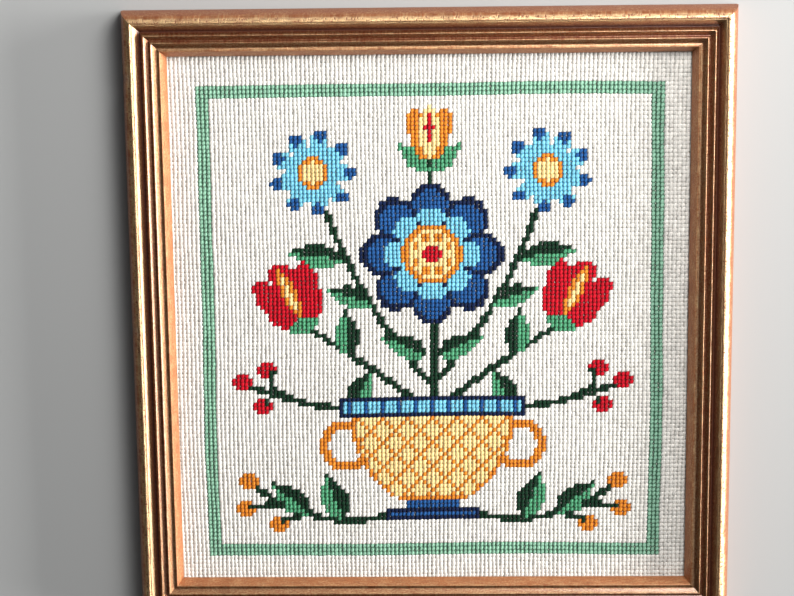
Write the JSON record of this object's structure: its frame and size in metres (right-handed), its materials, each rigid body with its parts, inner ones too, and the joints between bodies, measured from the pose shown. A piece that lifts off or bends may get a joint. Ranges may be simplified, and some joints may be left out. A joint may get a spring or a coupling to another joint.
{
  "type": "needlepoint picture in a wooden frame",
  "caption": "Nearly square wool needlepoint picture with a stitched border, held flat in a mitred gilt wooden frame with a reeded face.",
  "frame": {"origin": "middle of the picture at the frame's back face, which is what it lies on", "axes": "+X to the picture's right, +Y to its top, +Z out of its face; it lies on its back, face up"},
  "size_m": [0.3678, 0.3806, 0.0219],
  "materials": {
    "gilt_wood": "rubbed bronze gilding over red-brown, mottled and worn on the edges",
    "wool_needlework": "matt wool in slanted tent stitches, cream ground",
    "backing_board": "plain grey-brown pressed board"
  },
  "bodies": {
    "root": {"rail_top": "gilt_wood", "rail_left": "gilt_wood", "rail_bottom": "gilt_wood", "rail_right": "gilt_wood", "stitched_canvas": "wool_needlework", "backing_board": "backing_board"}
  },
  "joints": []
}
